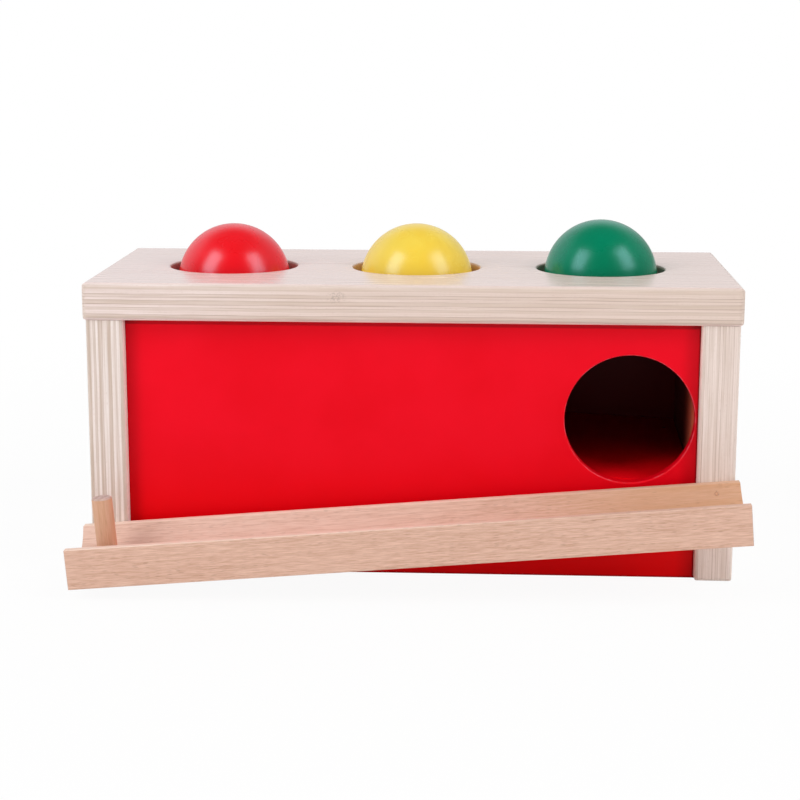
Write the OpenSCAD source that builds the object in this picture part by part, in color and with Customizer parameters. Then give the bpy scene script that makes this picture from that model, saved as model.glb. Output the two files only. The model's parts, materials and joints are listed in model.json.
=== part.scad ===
// A wooden push-ball box. Three balls sit in soft rings under the holes of the top board.
// A ball that is pressed through its ring drops onto a sloping board inside, rolls out
// of the round hole in the front and runs down the coved track to the stop peg.

/* [Boards] */
// Thickness of the plywood of the top and the end boards
ply_t = 15; // [12:0.5:18]
// Height from the table to the top face
box_h = 118.5; // [112:0.5:140]
// Depth of the room inside, between the two painted panels
run_d = 92.5; // [80:0.5:120]
// How far the top board stands out past the end boards at each side
side_over = 1; // [0.5:0.25:4]
// How far the top board stands out past the end boards at the front and the back
front_over = 1.25; // [0.5:0.25:4]
// Rounding of the top board's edges
top_ease = 2; // [0.5:0.25:4]
// Rounding of the end boards' edges, except under the top board
end_ease = 1.5; // [0.5:0.25:2.5]

/* [Panels] */
// Thickness of the painted panels
panel_t = 5; // [3:0.5:6]
// How far the panels stand back from the edges of the end boards
panel_recess = 5; // [3:0.5:8]
// Depth of the grooves for the panels in the end boards
end_groove = 5; // [3:0.5:7]
// Depth of the grooves for the panels in the top board
top_groove = 4; // [3:0.5:7]

/* [Balls and holes] */
// Diameter of a ball
ball_d = 47; // [46:0.5:50]
// Gap all round a ball in its hole in the top board
hole_gap = 3; // [1:0.25:3.5]
// Distance from one hole to the next
hole_pitch = 77; // [72:1:90]
// Distance from the axes of the outer holes to the inner faces of the end boards
hole_inset = 37; // [35.5:0.5:50]
// Rounding of the upper rims of the holes
hole_ease = 1; // [0.5:0.25:2]
// Gap all round a ball in the exit hole
exit_gap = 2.3; // [1:0.1:4]
// Strip of panel left between the exit hole and the right end board
exit_edge = 1.2; // [0.6:0.1:10]
// Height of the lowest point of the exit hole above the table
exit_low = 39; // [34:0.5:46]
// Rounding of the front rim of the exit hole
exit_ease = 0.6; // [0.2:0.1:1.5]

/* [Grip rings] */
// Thickness of the rubber of a grip ring
ring_t = 2.5; // [1.5:0.25:4]
// Width of a ring's flat land round its hole
ring_land = 7; // [6.5:0.25:8]
// How much smaller than its ball the left ring's opening is
left_squeeze = 3.1; // [2:0.1:7]
// How much smaller than its ball the middle ring's opening is
middle_squeeze = 3.5; // [2:0.1:7]
// How much smaller than its ball the right ring's opening is
right_squeeze = 5.7; // [2:0.1:7]
// Screws that hold each ring
ring_screw_count = 4; // [3:1:8]

/* [Inner ramp] */
// Thickness of the ramp board
ramp_t = 5; // [3:0.5:8]
// How far the ramp stands above the lowest point of the exit hole
ramp_step = 0.5; // [0:0.1:2]
// Fall of the ramp to the right, in degrees
ramp_fall_right = 3; // [2:0.25:4]
// Fall of the ramp to the front, in degrees
ramp_fall_front = 4; // [2:0.25:6]
// Width of the cleats under the ends of the ramp
cleat_w = 12; // [8:0.5:18]
// Height of the cleats
cleat_h = 12; // [8:0.5:16]

/* [Track] */
// Width of the track, front to back
track_w = 39; // [36:0.5:50]
// Height of the track's section
track_h = 16; // [15:0.5:20]
// How far the track is longer than the top board at each end
track_over = 1.5; // [0:0.5:8]
// Fall of the track to the left, in degrees
track_slope = 4.8; // [3:0.1:5.5]
// How far the track's rails lie below the lowest point of the exit hole
track_drop = 0.6; // [0:0.1:4]
// Width of the cove between the rails
cove_w = 33; // [24:0.5:34]
// Depth of the cove
cove_d = 10; // [8:0.25:10]
// Rounding of the outer edges of the track
track_ease = 0.4; // [0.3:0.1:2]
// Rounding of the rails' edges along the cove
cove_ease = 0.6; // [0.3:0.1:2]

/* [Stop peg] */
// Diameter of the peg
peg_d = 8; // [6:0.5:12]
// Distance from the track's low end to the axis of the peg
peg_inset = 12.7; // [10:0.1:30]
// How far the peg stands above the rails
peg_rise = 15.3; // [10:0.1:25]
// How deep the peg sits in the floor of the cove
peg_sink = 4.5; // [3:0.25:4.75]
// Bevel round the ends of the peg
peg_bevel = 0.6; // [0.2:0.1:1.5]

/* [Joinery] */
// Diameter of the dowels between the top board and the end boards
dowel_d = 6; // [5:0.5:8]
// Length of a dowel
dowel_l = 25; // [20:1:35]
// Length of a dowel in the top board
dowel_up = 9; // [6:0.5:10]
// Distance of a dowel from the middle of its board
dowel_spread = 35; // [20:1:40]
// Bevel round the ends of a dowel
dowel_bevel = 0.8; // [0.2:0.1:1.5]
// Diameter of a screw's shank
screw_d = 2.8; // [2:0.1:3.5]
// Diameter of a screw's head
screw_head_d = 5; // [4.2:0.1:6]
// Height of a screw's head
screw_head_h = 1.8; // [1:0.1:2.5]
// Length of a ring screw in the top board
ring_bite = 8; // [6:0.5:10]
// Length of a cleat screw in its end board
cleat_bite = 9; // [6:0.5:10]
// Distance of a cleat screw from the nearer panel
cleat_screw_inset = 32; // [26:1:36]
// Diameter of a brad
brad_d = 1.6; // [1:0.1:2]
// Length of a brad below the ramp, in its cleat
ramp_brad_bite = 8; // [5:0.5:8]
// Distance of a ramp brad from the nearer panel
ramp_brad_inset = 15; // [8:1:20]
// Length of a brad behind the track, in its end board
track_brad_bite = 14; // [10:1:20]
// Depth of a track brad below the top of the rails
track_brad_low = 3.5; // [2:0.25:5]

/* [Fits] */
// Gap between a ball at rest and the edge of its ring
seat_gap = 0.25; // [0.1:0.05:0.5]
// Gap on each side of a panel in its grooves
panel_fit = 0.2; // [0.1:0.05:0.5]
// Gap between the edges of the ramp and the walls
ramp_fit = 0.4; // [0.2:0.1:1]
// Film of glue round dowels and pegs, and the play round screws and brads
glue_gap = 0.05; // [0.02:0.01:0.1]

/* [Hidden] */
$fn = 64;

birch = [0.91, 0.84, 0.80];
beech = [0.83, 0.67, 0.58];
red_paint = [0.91, 0.08, 0.14];
yellow_paint = [0.98, 0.83, 0.30];
green_paint = [0.00, 0.49, 0.35];
dark_rubber = [0.20, 0.18, 0.17];
zinc = [0.70, 0.71, 0.72];

// Length by which a cutter runs past the faces that it cuts
past = 1;
// The slot in a screw's head, as shares of the head
slot_w = screw_head_d / 6;
slot_deep = screw_head_h / 2;

// Left and right: half lengths from the middle plane
inner_x = hole_pitch + hole_inset;
outer_x = inner_x + ply_t;
end_mid_x = inner_x + ply_t / 2;
top_l = 2 * (outer_x + side_over);
hole_x = [-hole_pitch, 0, hole_pitch];

// Front to back: the whole depth, track and box, is centred on the origin
end_d = run_d + 2 * (panel_t + panel_recess);
top_d = end_d + 2 * front_over;
front_y = (track_w - end_d - front_over) / 2;
back_y = front_y + end_d;
mid_y = (front_y + back_y) / 2;
inner_front_y = front_y + panel_recess + panel_t;
inner_back_y = back_y - panel_recess - panel_t;

// Up and down
under_top = box_h - ply_t;
ring_under = under_top - ring_t;

// Balls, holes and rings
ball_r = ball_d / 2;
hole_r = ball_r + hole_gap;
ring_r = hole_r + ring_land;
ring_screw_r = hole_r + ring_land / 2;
exit_r = ball_r + exit_gap;
exit_x = inner_x - exit_edge - exit_r;
exit_z = exit_low + exit_r;

function grip_r(squeeze) = (ball_d - squeeze) / 2;
function seat_z(squeeze) = under_top + sqrt(pow(ball_r + seat_gap, 2) - pow(grip_r(squeeze), 2));

// The ramp's upper face passes just above the lowest point of the exit hole
ramp_origin = [exit_x, inner_front_y, exit_low + ramp_step];
function ramp_z(x, y) = ramp_origin.z
    - tan(ramp_fall_right) * (x - ramp_origin.x)
    + tan(ramp_fall_front) / cos(ramp_fall_right) * (y - ramp_origin.y);
cleat_x = inner_x - cleat_w / 2;
cleat_screw_y = [inner_front_y + cleat_screw_inset, inner_back_y - cleat_screw_inset];
ramp_brad_y = [ramp_brad_inset, run_d - ramp_brad_inset];

// The rails of the track pass just below the exit hole
track_l = top_l + 2 * track_over;
rail_z = exit_low - track_drop;
track_mid_z = rail_z - exit_x * tan(track_slope) - track_h / 2 / cos(track_slope);
cove_r = (pow(cove_w / 2, 2) + pow(cove_d, 2)) / (2 * cove_d);
cove_axis_z = track_h / 2 + cove_r - cove_d;
cove_floor_z = track_h / 2 - cove_d;
peg_x = peg_inset - track_l / 2;
// A track brad starts where the wall of the cove stands at its height
track_brad_z = track_h / 2 - track_brad_low;
track_brad_y = sqrt(pow(cove_r, 2) - pow(cove_axis_z - track_brad_z, 2));
track_brad_x = [-end_mid_x / cos(track_slope), end_mid_x / cos(track_slope)];

// Outline with round corners
module round_rect(w, d, r) {
    square([w, d - 2 * r], center = true);
    square([w - 2 * r, d], center = true);
    for (x = [-1, 1], y = [-1, 1])
        translate([x * (w / 2 - r), y * (d / 2 - r)])
            circle(r);
}

// Board with all its edges rounded, centred on the origin
module eased_board(size, r) {
    intersection() {
        linear_extrude(size.z, center = true)
            round_rect(size.x, size.y, r);
        rotate([90, 0, 0])
            linear_extrude(size.y, center = true)
                round_rect(size.x, size.z, r);
        rotate([90, 0, 90])
            linear_extrude(size.x, center = true)
                round_rect(size.y, size.z, r);
    }
}

// Cutter for a round hole through a board of thickness t, with a rounded rim at z = 0
module eased_hole(r, t, ease) {
    translate([0, 0, -t - past])
        cylinder(r = r, h = t + 2 * past);
    rotate_extrude()
        difference() {
            translate([0, -ease])
                square([r + ease, ease + past]);
            translate([r + ease, -ease])
                circle(ease);
        }
}

// Dowel that stands on z = 0, beveled at both ends
module beveled_dowel(d, l, bevel) {
    cylinder(d1 = d - 2 * bevel, d2 = d, h = bevel);
    translate([0, 0, bevel])
        cylinder(d = d, h = l - 2 * bevel);
    translate([0, 0, l - bevel])
        cylinder(d1 = d, d2 = d - 2 * bevel, h = bevel);
}

// Round-head screw: the shank runs up from z = 0, the slotted head hangs below it
module screw(shank_l) {
    head_r = (pow(screw_head_d / 2, 2) + pow(screw_head_h, 2)) / (2 * screw_head_h);
    cylinder(d = screw_d, h = shank_l);
    difference() {
        rotate_extrude()
            intersection() {
                translate([0, head_r - screw_head_h])
                    circle(head_r);
                translate([0, -screw_head_h])
                    square([screw_head_d, screw_head_h]);
            }
        translate([-screw_head_d, -slot_w / 2, -screw_head_h - past])
            cube([2 * screw_head_d, slot_w, slot_deep + past]);
    }
}

// Places of the dowels of one end board, at the height of its top edge
module at_lid_dowels(side) {
    for (y = [-1, 1])
        translate([side * end_mid_x, mid_y + y * dowel_spread, under_top])
            children();
}

// Places of the screws of the ring at x, at the underside of the top board
module at_ring_screws(x) {
    for (i = [0 : ring_screw_count - 1])
        translate([x, mid_y, under_top])
            rotate((i + 0.5) * 360 / ring_screw_count)
                translate([ring_screw_r, 0, 0])
                    children();
}

// Places of the screws of one cleat, on the inner face of the end board, pointing into it
module at_cleat_screws(side) {
    for (y = cleat_screw_y)
        translate([side * inner_x, y, ramp_z(side * cleat_x, y) - ramp_t - cleat_h / 2])
            rotate([0, side * 90, 0])
                children();
}

// Frame of the ramp: its upper face is the plane z = 0
module in_ramp_frame() {
    translate(ramp_origin)
        rotate([ramp_fall_front, ramp_fall_right, 0])
            children();
}

// Places of the brads in the ramp's upper face, over the middle of one cleat
module at_ramp_brads(side) {
    in_ramp_frame()
        for (y = ramp_brad_y)
            translate([(side * cleat_x - exit_x) / cos(ramp_fall_right), y / cos(ramp_fall_front), 0])
                children();
}

// Slice of the room inside, from x0 to x1, that lies in the ramp's plane at a depth below its face
module ramp_slice(x0, x1, gap, depth, thickness) {
    reach = 2 * (track_l + run_d);
    intersection() {
        translate([x0, inner_front_y + gap, 0])
            cube([x1 - x0, run_d - 2 * gap, box_h]);
        in_ramp_frame()
            translate([-reach / 2, -reach / 2, -depth - thickness])
                cube([reach, reach, thickness]);
    }
}

// Frame of the track: its middle is the origin, x runs up the slope
module in_track_frame() {
    translate([0, front_y - track_w / 2, track_mid_z])
        rotate([0, -track_slope, 0])
            children();
}

// Places of the track's brads, on the back face of the track, pointing into the end boards
module at_track_brads() {
    in_track_frame()
        for (x = track_brad_x)
            translate([x, track_w / 2, track_brad_z])
                rotate([-90, 0, 0])
                    children();
}

// Grooves for the two panels, cut a little wider than the panels
module panel_grooves(x0, l, z0, h) {
    for (y = [front_y + panel_recess, back_y - panel_recess - panel_t])
        translate([x0, y - panel_fit, z0])
            cube([l, panel_t + 2 * panel_fit, h]);
}

module top_board() {
    color(birch)
        difference() {
            translate([0, mid_y, box_h - ply_t / 2])
                eased_board([top_l, top_d, ply_t], top_ease);
            for (x = hole_x)
                translate([x, mid_y, box_h])
                    eased_hole(hole_r, ply_t, hole_ease);
            panel_grooves(-inner_x - end_groove, 2 * (inner_x + end_groove), under_top - past, top_groove + past);
            for (side = [-1, 1])
                at_lid_dowels(side)
                    translate([0, 0, -past])
                        cylinder(r = dowel_d / 2 + glue_gap, h = dowel_up + glue_gap + past);
            for (x = hole_x)
                at_ring_screws(x)
                    translate([0, 0, -past])
                        cylinder(r = screw_d / 2 + glue_gap, h = ring_bite + glue_gap + past);
        }
}

// An end board; side is -1 at the left and 1 at the right
module end_board(side) {
    groove_x = side > 0 ? inner_x - past : -inner_x - end_groove;
    color(birch)
        difference() {
            translate([side * end_mid_x, mid_y, (under_top + end_ease) / 2])
                eased_board([ply_t, end_d, under_top + end_ease], end_ease);
            translate([side * end_mid_x - ply_t, front_y - past, under_top])
                cube([2 * ply_t, end_d + 2 * past, end_ease + past]);
            panel_grooves(groove_x, end_groove + past, -past, under_top + end_ease + 2 * past);
            at_lid_dowels(side)
                translate([0, 0, dowel_up - dowel_l - glue_gap])
                    cylinder(r = dowel_d / 2 + glue_gap, h = dowel_l);
            at_cleat_screws(side)
                translate([0, 0, -past])
                    cylinder(r = screw_d / 2 + glue_gap, h = cleat_bite + glue_gap + past);
            at_track_brads()
                translate([0, 0, -past])
                    cylinder(r = brad_d / 2 + glue_gap, h = track_brad_bite + glue_gap + past);
        }
}

module left_end_board() {
    end_board(-1);
}

module right_end_board() {
    end_board(1);
}

module lid_dowels(side) {
    color(beech)
        at_lid_dowels(side)
            translate([0, 0, dowel_up - dowel_l])
                beveled_dowel(dowel_d, dowel_l, dowel_bevel);
}

module left_lid_dowels() {
    lid_dowels(-1);
}

module right_lid_dowels() {
    lid_dowels(1);
}

// A painted panel that fills the grooves of the end boards and the top board
module panel(y) {
    panel_w = 2 * (inner_x + end_groove - panel_fit);
    translate([-panel_w / 2, y, 0])
        cube([panel_w, panel_t, under_top + top_groove - panel_fit]);
}

module front_panel() {
    color(red_paint)
        difference() {
            panel(front_y + panel_recess);
            translate([exit_x, front_y + panel_recess, exit_z])
                rotate([90, 0, 0])
                    eased_hole(exit_r, panel_t, exit_ease);
        }
}

module back_panel() {
    color(red_paint)
        panel(back_y - panel_recess - panel_t);
}

module ramp_board() {
    color(red_paint)
        difference() {
            ramp_slice(-inner_x + ramp_fit, inner_x - ramp_fit, ramp_fit, 0, ramp_t);
            for (side = [-1, 1])
                at_ramp_brads(side)
                    translate([0, 0, -ramp_t - past])
                        cylinder(r = brad_d / 2 + glue_gap, h = ramp_t + 2 * past);
        }
}

// A cleat, planed to the fall of the ramp that lies on it
module ramp_cleat(side) {
    x0 = side > 0 ? inner_x - cleat_w : -inner_x;
    color(beech)
        difference() {
            ramp_slice(x0, x0 + cleat_w, ramp_fit, ramp_t, cleat_h);
            at_cleat_screws(side)
                translate([0, 0, -cleat_w - past])
                    cylinder(r = screw_d / 2 + glue_gap, h = cleat_w + 2 * past);
            at_ramp_brads(side)
                translate([0, 0, -ramp_t - ramp_brad_bite - glue_gap])
                    cylinder(r = brad_d / 2 + glue_gap, h = ramp_brad_bite + ramp_t);
        }
}

module left_ramp_cleat() {
    ramp_cleat(-1);
}

module right_ramp_cleat() {
    ramp_cleat(1);
}

module cleat_screws() {
    color(zinc)
        for (side = [-1, 1])
            at_cleat_screws(side)
                translate([0, 0, -cleat_w])
                    screw(cleat_w + cleat_bite);
}

module ramp_brads() {
    color(zinc)
        for (side = [-1, 1])
            at_ramp_brads(side)
                translate([0, 0, -ramp_t - ramp_brad_bite])
                    cylinder(d = brad_d, h = ramp_t + ramp_brad_bite);
}

// Rubber ring under the hole at x, whose opening is tighter than the ball
module grip_ring(x, squeeze) {
    color(dark_rubber)
        difference() {
            translate([x, mid_y, ring_under])
                cylinder(r = ring_r, h = ring_t);
            translate([x, mid_y, ring_under - past])
                cylinder(r = grip_r(squeeze), h = ring_t + 2 * past);
            at_ring_screws(x)
                translate([0, 0, -ring_t - past])
                    cylinder(r = screw_d / 2 + glue_gap, h = ring_t + 2 * past);
        }
}

module left_grip_ring() {
    grip_ring(hole_x[0], left_squeeze);
}

module middle_grip_ring() {
    grip_ring(hole_x[1], middle_squeeze);
}

module right_grip_ring() {
    grip_ring(hole_x[2], right_squeeze);
}

module ring_screws(x) {
    color(zinc)
        at_ring_screws(x)
            translate([0, 0, -ring_t])
                screw(ring_t + ring_bite);
}

module left_ring_screws() {
    ring_screws(hole_x[0]);
}

module middle_ring_screws() {
    ring_screws(hole_x[1]);
}

module right_ring_screws() {
    ring_screws(hole_x[2]);
}

// Section of the strip that is cut away to round a rail's edge along the cove
module cove_edge_section() {
    rise = cove_axis_z - track_h / 2 + cove_ease;
    axis_y = sqrt(pow(cove_r + cove_ease, 2) - pow(rise, 2));
    touch_y = axis_y * cove_r / (cove_r + cove_ease);
    touch_z = cove_axis_z - rise * cove_r / (cove_r + cove_ease);
    difference() {
        polygon([
            [axis_y, track_h / 2 - cove_ease],
            [axis_y, track_h / 2 + past],
            [touch_y, track_h / 2 + past],
            [touch_y, touch_z]
        ]);
        translate([axis_y, track_h / 2 - cove_ease])
            circle(cove_ease);
    }
}

module ball_track() {
    color(beech)
        difference() {
            in_track_frame()
                difference() {
                    eased_board([track_l, track_w, track_h], track_ease);
                    translate([0, 0, cove_axis_z])
                        rotate([0, 90, 0])
                            cylinder(r = cove_r, h = track_l + 2 * past, center = true);
                    for (side = [0, 1])
                        mirror([0, side, 0])
                            rotate([90, 0, 90])
                                linear_extrude(track_l + 2 * past, center = true)
                                    cove_edge_section();
                    translate([peg_x, 0, cove_floor_z - peg_sink - glue_gap])
                        cylinder(r = peg_d / 2 + glue_gap, h = peg_sink + track_h);
                }
            at_track_brads()
                translate([0, 0, track_brad_y - track_w / 2 - past])
                    cylinder(r = brad_d / 2 + glue_gap, h = track_w / 2 - track_brad_y + 2 * past);
        }
}

module stop_peg() {
    color(beech)
        in_track_frame()
            translate([peg_x, 0, cove_floor_z - peg_sink])
                beveled_dowel(peg_d, peg_sink + cove_d + peg_rise, peg_bevel);
}

module track_brads() {
    color(zinc)
        at_track_brads()
            translate([0, 0, track_brad_y - track_w / 2])
                cylinder(d = brad_d, h = track_w / 2 - track_brad_y + track_brad_bite);
}

// A ball at rest on the edge of its ring
module ball(x, squeeze) {
    translate([x, mid_y, seat_z(squeeze)])
        sphere(ball_r);
}

module red_ball() {
    color(red_paint)
        ball(hole_x[0], left_squeeze);
}

module yellow_ball() {
    color(yellow_paint)
        ball(hole_x[1], middle_squeeze);
}

module green_ball() {
    color(green_paint)
        ball(hole_x[2], right_squeeze);
}

top_board();
left_end_board();
right_end_board();
left_lid_dowels();
right_lid_dowels();
front_panel();
back_panel();
ramp_board();
left_ramp_cleat();
right_ramp_cleat();
cleat_screws();
ramp_brads();
left_grip_ring();
middle_grip_ring();
right_grip_ring();
left_ring_screws();
middle_ring_screws();
right_ring_screws();
ball_track();
stop_peg();
track_brads();
red_ball();
yellow_ball();
green_ball();
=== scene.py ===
# %% [markdown]
# # Dressing a push-ball box
# The object is a wooden toy. Three lacquered balls sit in holes in a plywood lid, a red panel with a round
# hole closes the front, and a beech track with a stop peg catches what rolls out. The solids come from the
# CAD model and stay exactly where they are. This lesson gives them their finishes, and models the soft rings
# and the fasteners again with the detail that such small pieces have.

# %% Load the solids
import json
import math
from functools import partialmethod

import bpy
from mathutils import Matrix, Vector

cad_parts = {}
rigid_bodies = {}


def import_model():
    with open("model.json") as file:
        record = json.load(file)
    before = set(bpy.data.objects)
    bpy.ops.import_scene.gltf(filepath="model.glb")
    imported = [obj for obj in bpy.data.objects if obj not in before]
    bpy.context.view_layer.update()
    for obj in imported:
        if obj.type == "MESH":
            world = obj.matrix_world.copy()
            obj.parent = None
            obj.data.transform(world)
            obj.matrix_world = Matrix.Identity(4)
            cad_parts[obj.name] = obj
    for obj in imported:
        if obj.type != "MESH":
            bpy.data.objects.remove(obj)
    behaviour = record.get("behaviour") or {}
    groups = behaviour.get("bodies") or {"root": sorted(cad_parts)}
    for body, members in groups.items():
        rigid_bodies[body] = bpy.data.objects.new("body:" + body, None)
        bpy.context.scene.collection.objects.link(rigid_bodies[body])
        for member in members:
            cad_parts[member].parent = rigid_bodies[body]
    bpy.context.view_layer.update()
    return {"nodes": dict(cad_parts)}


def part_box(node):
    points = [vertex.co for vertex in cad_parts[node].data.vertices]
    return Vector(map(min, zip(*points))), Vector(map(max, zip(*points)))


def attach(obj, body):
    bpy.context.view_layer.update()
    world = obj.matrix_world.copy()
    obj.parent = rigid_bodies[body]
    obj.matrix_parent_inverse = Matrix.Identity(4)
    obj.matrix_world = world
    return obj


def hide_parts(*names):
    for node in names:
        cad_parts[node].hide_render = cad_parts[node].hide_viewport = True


for leftover in list(bpy.data.objects):
    bpy.data.objects.remove(leftover)
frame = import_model()
solids = frame["nodes"]
studio = bpy.context.scene
MM = 0.001

# %% [markdown]
# ## The camera
# A camera can be placed by eye, but straight edges in a picture fix it far better. The place, the turn and
# the lens below were worked out from the corners and edges of the box, whose sizes are known. Blender's
# camera looks straight down before it is turned, so it is rolled, tipped up by nearly 90 degrees and swung left.

# %% Stand the camera
CAMERA_PLACE = Vector((32.94, -761.72, 221.65)) * MM
CAMERA_YAW, CAMERA_PITCH, CAMERA_ROLL = 2.922, -11.606, 0.092
PICTURE_PIXELS = 800
FOCAL_PIXELS = 1870.35
SENSOR_MM = 36


def turned(degrees, axis):
    """A turn about an axis."""
    return Matrix.Rotation(math.radians(degrees), 3, axis)


camera = bpy.data.objects.new("photo_camera", bpy.data.cameras.new("photo_camera"))
studio.collection.objects.link(camera)
camera.location = CAMERA_PLACE
camera_turn = turned(CAMERA_YAW, "Z") @ turned(90 + CAMERA_PITCH, "X") @ turned(CAMERA_ROLL, "Z")
camera.rotation_euler = camera_turn.to_euler()
camera.data.sensor_width = SENSOR_MM
camera.data.lens = FOCAL_PIXELS / PICTURE_PIXELS * SENSOR_MM
studio.camera = camera
bpy.context.scene.view_settings.view_transform = "Standard"
print("lens: %.1f mm" % camera.data.lens)

# %% [markdown]
# ## Formulas as nodes
# Node trees are usually drawn with the mouse. In a script the same tree reads best as a formula, so one
# small class stands for an output of a node: adding or multiplying two of them adds a Math node. It serves
# both the shaders and the geometry trees, because both use the same Math node.


# %% Helpers for node trees
class Wire:
    """One output in a node tree, with the usual arithmetic. [name] gives another output of the same node."""

    def __init__(self, tree, socket):
        self.tree = tree
        self.socket = socket

    def __getitem__(self, key):
        return Wire(self.tree, self.socket.node.outputs[key])

    def math(self, operation, *others):
        made = self.tree.nodes.new("ShaderNodeMath")
        made.operation = operation
        for place, value in enumerate((self, *others)):
            connect(self.tree, value, made.inputs[place])
        return Wire(self.tree, made.outputs[0])

    __add__ = __radd__ = partialmethod(math, "ADD")
    __sub__ = partialmethod(math, "SUBTRACT")
    __mul__ = __rmul__ = partialmethod(math, "MULTIPLY")
    __truediv__ = partialmethod(math, "DIVIDE")
    __abs__ = partialmethod(math, "ABSOLUTE")

    def __rsub__(self, other):
        return self * -1.0 + other

    def ramp(self, low, high, start=0.0, end=1.0, smooth=True):
        """Goes from start to end while this value goes from low to high, and stays there beyond them."""
        kind = "SMOOTHSTEP" if smooth else "LINEAR"
        values = {"Value": self, "From Min": low, "From Max": high, "To Min": start, "To Max": end}
        return put(self.tree, "ShaderNodeMapRange", values, interpolation_type=kind)["Result"]


def connect(tree, value, socket):
    """Links a wire to an input, or sets the input to a plain value."""
    if isinstance(value, Wire):
        tree.links.new(value.socket, socket)
    else:
        socket.default_value = value


def put(tree, kind, values=None, **settings):
    """Adds a node, with its settings and its inputs, and gives its first output."""
    made = tree.nodes.new(kind)
    for name, value in settings.items():
        setattr(made, name, value)
    for key, value in (values or {}).items():
        connect(tree, value, made.inputs[key])
    return Wire(tree, made.outputs[0])


def split(vector):
    """The three parts of a vector."""
    parts = put(vector.tree, "ShaderNodeSeparateXYZ", {"Vector": vector})
    return parts["X"], parts["Y"], parts["Z"]


def join(x, y, z):
    """A vector from three parts, of which at least the first is a wire."""
    return put(x.tree, "ShaderNodeCombineXYZ", {"X": x, "Y": y, "Z": z})["Vector"]


MIX_AMOUNT, MIX_FIRST, MIX_SECOND, MIX_OUT = 0, 6, 7, 2


def tint(amount, first, second):
    """Goes from the first colour to the second as the amount goes from 0 to 1."""
    values = {MIX_AMOUNT: amount, MIX_FIRST: first, MIX_SECOND: second}
    return put(amount.tree, "ShaderNodeMix", values, data_type="RGBA")[MIX_OUT]


def start_group(name, kind, inputs, outputs):
    """A new node group: its tree, its inputs as wires, and its output node."""
    tree = bpy.data.node_groups.new(name, kind)
    for way, sockets in (("INPUT", inputs), ("OUTPUT", outputs)):
        for label, socket in sockets.items():
            tree.interface.new_socket(label, in_out=way, socket_type=socket)
    entry = put(tree, "NodeGroupInput")
    return tree, {label: entry[label] for label in inputs}, tree.nodes.new("NodeGroupOutput")


FLOAT = "NodeSocketFloat"


def start_shader_group(name, numbers, outputs):
    """A shader group that takes a place and some numbers, and puts out numbers."""
    inputs = {"Vector": "NodeSocketVector", **dict.fromkeys(numbers, FLOAT)}
    return start_group(name, "ShaderNodeTree", inputs, dict.fromkeys(outputs, FLOAT))


def use_group(tree, group, values):
    """Places a shader group in a tree."""
    return put(tree, "ShaderNodeGroup", values, node_tree=group)


def set_shader(tree, values, shader="Principled BSDF"):
    """Links or sets inputs of a tree's shader."""
    for label, value in values.items():
        connect(tree, value, tree.nodes[shader].inputs[label])


def srgb(red, green, blue):
    """A paint chart's colour, from 0 to 255, as the linear colour that a shader takes."""
    shares = [part / 255 for part in (red, green, blue)]
    return (*[s / 12.92 if s <= 0.04045 else ((s + 0.055) / 1.055) ** 2.4 for s in shares], 1.0)


def distance(across, up):
    """How far a point lies from an axis."""
    return (across * across + up * up).math("SQRT")


print("helpers ready")

# %% [markdown]
# ## Studio light
# Two softboxes stand on the left and on the right: their soft reflections show on the balls, and they leave
# the inside of the box dark. Behind the toy hangs a lit white sweep of paper. It lights the lid and the back,
# and gives the balls their pale rims. In reflections the sweep is a cool white, which fades towards the top and
# the right and is dimmer at its foot, where the varnished lid mirrors it. The room behind the camera is dark,
# which keeps the colours in the middle of the balls deep. A low white reflector in front fills the shadows
# under the lid and the track.

# %% Light the studio
SOFTBOX_SIZE = (0.82, 1.28)
SOFTBOXES = {"left": (Vector((-1.17, -0.89, 1.15)), 17.4), "right": (Vector((1.31, -0.68, 1.15)), 15.8)}
REFLECTOR = {"place": Vector((0.03, -1.45, 0.16)), "size": (1.8, 0.4), "watts": 3.4}
SWEEP_LIGHT, ROOM_LIGHT = 0.65, 0.08
SWEEP_SEEN, ROOM_SEEN = 1.0, 0.01
WHITE, COOL_WHITE = (1.0, 1.0, 1.0, 1.0), (0.86, 0.95, 1.0, 1.0)
SWEEP_SIDES = (-0.3, 0.35)
SWEEP_FADES = (0.1, 0.8, 1.0, 0.4)
SWEEP_TOP = (math.sin(math.radians(32)), math.sin(math.radians(66)))
SWEEP_FOOT = (0.08, 0.34)
FOOT_SEEN = 0.72
AIM = Vector((0, 0, 0.07))


def softbox(name, place, size, watts):
    """A rectangular lamp that looks at the toy."""
    lamp = bpy.data.lights.new(name, "AREA")
    lamp.shape = "RECTANGLE"
    lamp.size, lamp.size_y = size
    lamp.energy = watts
    made = bpy.data.objects.new(name, lamp)
    made.location = place
    made.rotation_euler = (AIM - place).to_track_quat("-Z", "Y").to_euler()
    made.visible_camera = False
    studio.collection.objects.link(made)
    return made


def seen_directly(rays):
    """1 for what the camera, a reflection or a clear surface looks at, 0 for plain light."""
    seen = rays["Is Camera Ray"].math("MAXIMUM", rays["Is Glossy Ray"])
    return seen.math("MAXIMUM", rays["Is Transmission Ray"])


for side, (place, watts) in SOFTBOXES.items():
    softbox(side + "_softbox", place, SOFTBOX_SIZE, watts)
reflector = softbox("front_reflector", **REFLECTOR)
reflector.visible_glossy = False

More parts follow.
